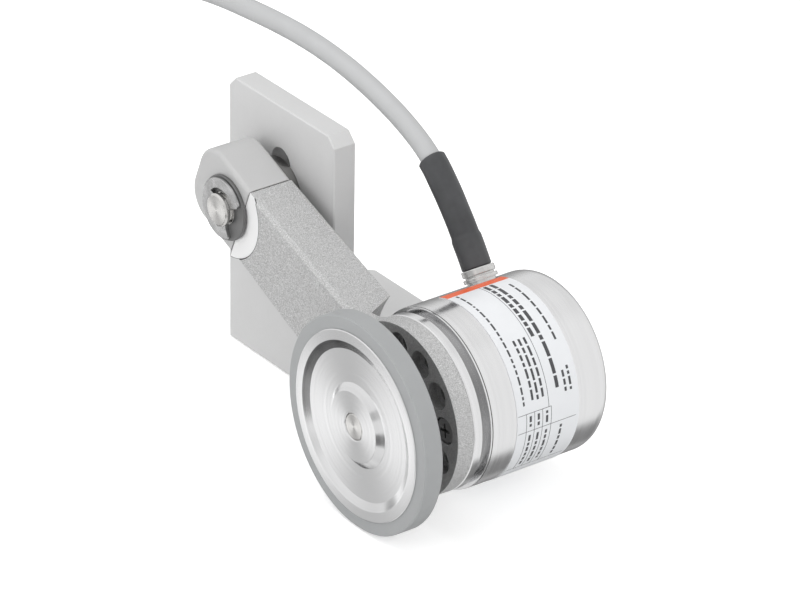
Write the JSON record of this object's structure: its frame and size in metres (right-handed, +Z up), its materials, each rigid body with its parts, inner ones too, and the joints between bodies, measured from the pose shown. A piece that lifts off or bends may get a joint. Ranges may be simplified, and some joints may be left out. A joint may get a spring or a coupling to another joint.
{
  "type": "measuring wheel encoder",
  "caption": "Spring-loaded arm on an L bracket that presses a rubber-tyred measuring wheel on a moving surface; a rotary encoder with a cable turns with the wheel.",
  "frame": {"origin": "centre of the bracket foot's underside, which rests on the machine", "axes": "+Z up from the foot, +X along the wheel axis from the wheel towards the encoder's end, the arm reaches towards -Y"},
  "size_m": [0.0874, 0.3825, 0.1002],
  "materials": {
    "anodised": "matt light grey anodised aluminium, bead blasted",
    "cap_grey": "smooth light grey coated metal",
    "cast": "sand-textured cast aluminium, machined eye face",
    "turned_aluminium": "bright turned aluminium with fine lathe marks",
    "bright_steel": "bright turned or ground steel",
    "zinc_steel": "zinc plated steel",
    "clip_steel": "polished spring steel",
    "dark_steel": "dark oxidised steel",
    "bush_bronze": "sintered bronze",
    "tyre_rubber": "smooth grey rubber",
    "black_rubber": "black rubber",
    "label_silver": "silver-white foil label, bare, with a plain orange stripe",
    "board_green": "green solder-masked board",
    "sensor_black": "black moulded plastic",
    "cage_plastic": "glass-filled natural nylon",
    "disc_metal": "thin bright metal",
    "hub_brass": "turned brass",
    "nickel": "nickel plated turned brass",
    "shrink_sleeve": "dark grey shrink sleeve",
    "cable_grey": "light grey cable jacket",
    "core_colours": "coloured core insulation",
    "tie_black": "black nylon"
  },
  "bodies": {
    "bracket": {"mounting_bracket": "anodised", "pivot_pin": "bright_steel", "stop_pin": "bright_steel", "clamp_washer": "zinc_steel", "clamp_nut": "zinc_steel", "retaining_clip": "clip_steel", "pivot_washer": "dark_steel", "cable_coil": "cable_grey", "coil_tie": "tie_black", "cable_cores": "core_colours", "core_ferrules": "bright_steel"},
    "arm": {"arm_casting": "cast", "pivot_cap": "cap_grey", "front_bush": "bush_bronze", "rear_bush": "bush_bronze", "torsion_spring": "dark_steel", "flange_screws": "dark_steel", "encoder_flange": "turned_aluminium", "shaft_seal": "black_rubber", "front_bearing_outer": "bright_steel", "rear_bearing_outer": "bright_steel", "housing_can": "turned_aluminium", "housing_gasket": "black_rubber", "housing_label": "label_silver", "board_spacers": "zinc_steel", "circuit_board": "board_green", "board_screws": "zinc_steel", "sensor_head": "sensor_black", "lead_cores": "core_colours", "cable_gland": "nickel", "gland_ring": "nickel", "strain_relief": "shrink_sleeve", "cable_lead": "cable_grey"},
    "wheel": {"wheel_disc": "turned_aluminium", "tyre": "tyre_rubber", "grub_screw": "dark_steel", "encoder_shaft": "bright_steel", "front_bearing_inner": "bright_steel", "rear_bearing_inner": "bright_steel", "shaft_circlip": "dark_steel", "disc_hub": "hub_brass", "code_disc": "disc_metal"},
    "ball_sets": {"front_balls": "bright_steel", "rear_balls": "bright_steel", "front_cage": "cage_plastic", "rear_cage": "cage_plastic"}
  },
  "joints": [
    {"name": "arm_swing", "type": "hinge", "parent": "bracket", "child": "arm", "pos_m": [0, 0, 0.05913], "axis": [-1, 0, 0], "range_deg": [0, 20], "stiffness_Nm_per_rad": 1, "springref_deg": -45.84, "deforming": ["cable_lead"]},
    {"name": "wheel_spin", "type": "hinge", "parent": "arm", "child": "wheel", "pos_m": [0, -0.0844, 0.03183], "axis": [1, 0, 0], "continuous": true},
    {"name": "ball_sets_spin", "type": "hinge", "parent": "arm", "child": "ball_sets", "pos_m": [0, -0.0844, 0.03183], "axis": [1, 0, 0], "continuous": true}
  ],
  "couplings": [
    {"joint": "ball_sets_spin", "follows": "wheel_spin", "ratio": 0.37}
  ]
}
